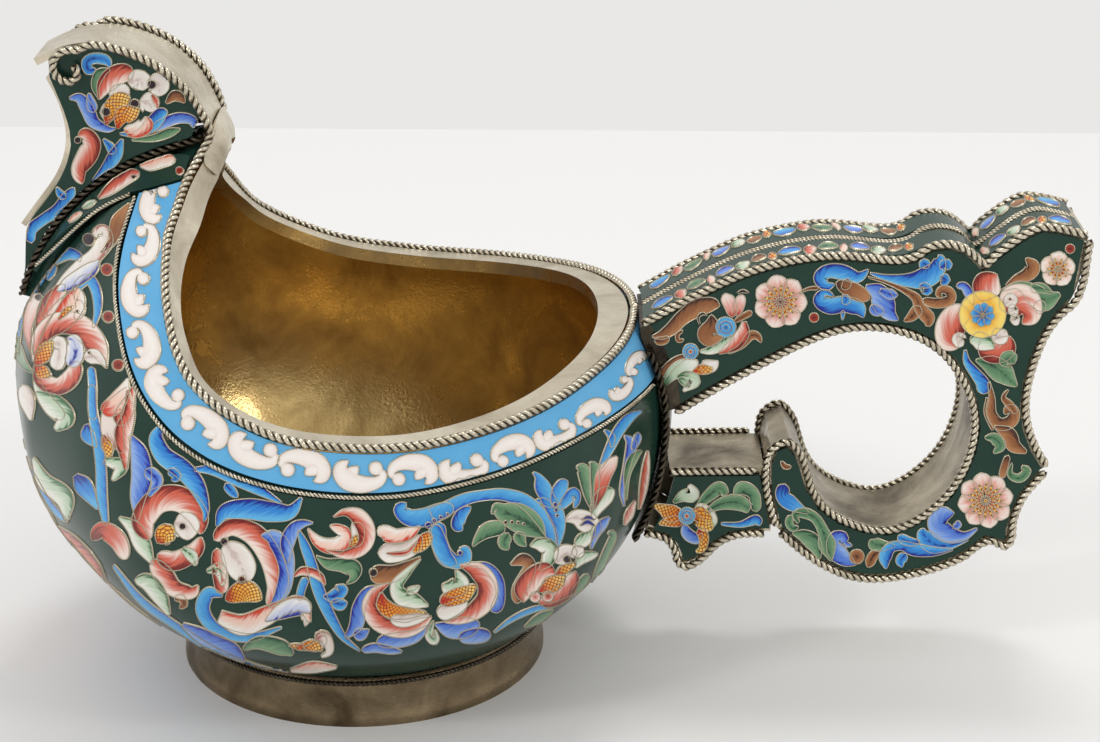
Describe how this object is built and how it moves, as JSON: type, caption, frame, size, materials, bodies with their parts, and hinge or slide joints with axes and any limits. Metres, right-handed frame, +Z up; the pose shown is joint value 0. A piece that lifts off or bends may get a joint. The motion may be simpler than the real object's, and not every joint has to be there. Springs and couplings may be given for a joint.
{
  "type": "ladle",
  "caption": "Round-bellied wine ladle of enamelled silver-gilt: hooked prow, rising rim, ring foot and a scrolling box handle, all edged with twisted wire.",
  "frame": {"origin": "centre of the bounding box in plan, on the plane the foot stands on", "axes": "+X towards the handle's end, -X towards the prow, +Z up, +Y towards the right side seen from the handle's end looking at the prow's back; the ladle is symmetric about the XZ plane"},
  "size_m": [0.2046, 0.1158, 0.1255],
  "materials": {
    "enamel_border": "opaque polished enamel, light blue ground",
    "enamel_bowl": "opaque polished enamel, dark green ground",
    "enamel_bracket": "opaque polished enamel, dark green ground",
    "enamel_collar": "opaque polished enamel, dark green ground",
    "enamel_handle": "opaque polished enamel, dark green ground",
    "enamel_handle_top": "opaque polished enamel, dark green ground",
    "enamel_prow": "opaque polished enamel, dark green ground",
    "foot_silver": "tarnished silver-gilt",
    "gilt_interior": "worn gilding, polished and mottled",
    "oxidised_silver": "oxidised twisted silver",
    "silver_band": "warm, satin-polished silver",
    "silver_wire": "twisted silver wire, dark in the grooves"
  },
  "bodies": {
    "root": {"border_enamel_left": "enamel_border", "border_enamel_right": "enamel_border", "border_wire_left": "silver_wire", "border_wire_right": "silver_wire", "bowl_enamel_left": "enamel_bowl", "bowl_enamel_right": "enamel_bowl", "bowl_shell": "gilt_interior", "bracket_cheek_left": "silver_band", "bracket_cheek_right": "silver_band", "bracket_enamel_left": "enamel_bracket", "bracket_enamel_right": "enamel_bracket", "bracket_top_strap": "silver_band", "bracket_top_wire_left": "silver_wire", "bracket_top_wire_right": "silver_wire", "bracket_under_strap": "silver_band", "bracket_under_wire_left": "silver_wire", "bracket_under_wire_right": "silver_wire", "collar_enamel_left": "enamel_collar", "collar_enamel_right": "enamel_collar", "collar_wire_left": "silver_wire", "collar_wire_right": "silver_wire", "crest_band": "silver_band", "crest_wire_left": "silver_wire", "crest_wire_right": "silver_wire", "foot_ring": "foot_silver", "foot_wire": "oxidised_silver", "handle_back_strap": "silver_band", "handle_back_wire_left": "silver_wire", "handle_back_wire_right": "silver_wire", "handle_cheek_left": "silver_band", "handle_cheek_right": "silver_band", "handle_enamel_left": "enamel_handle", "handle_enamel_right": "enamel_handle", "handle_inner_strap": "silver_band", "handle_inner_wire_left": "silver_wire", "handle_inner_wire_right": "silver_wire", "handle_ridge_wire_left": "silver_wire", "handle_ridge_wire_right": "silver_wire", "handle_top_enamel_left": "enamel_handle_top", "handle_top_enamel_right": "enamel_handle_top", "handle_top_strap": "silver_band", "handle_top_wire_left": "silver_wire", "handle_top_wire_right": "silver_wire", "handle_under_strap": "silver_band", "handle_under_wire_left": "silver_wire", "handle_under_wire_right": "silver_wire", "mount_plate": "oxidised_silver", "mount_wire_left": "oxidised_silver", "mount_wire_right": "oxidised_silver", "prow_cheek_left": "silver_band", "prow_cheek_right": "silver_band", "prow_enamel_left": "enamel_prow", "prow_enamel_right": "enamel_prow", "prow_front_strip": "silver_band", "prow_seam_wire_left": "oxidised_silver", "prow_seam_wire_right": "oxidised_silver", "rim_band": "silver_band", "rim_wire_left": "silver_wire", "rim_wire_right": "silver_wire"}
  },
  "joints": []
}
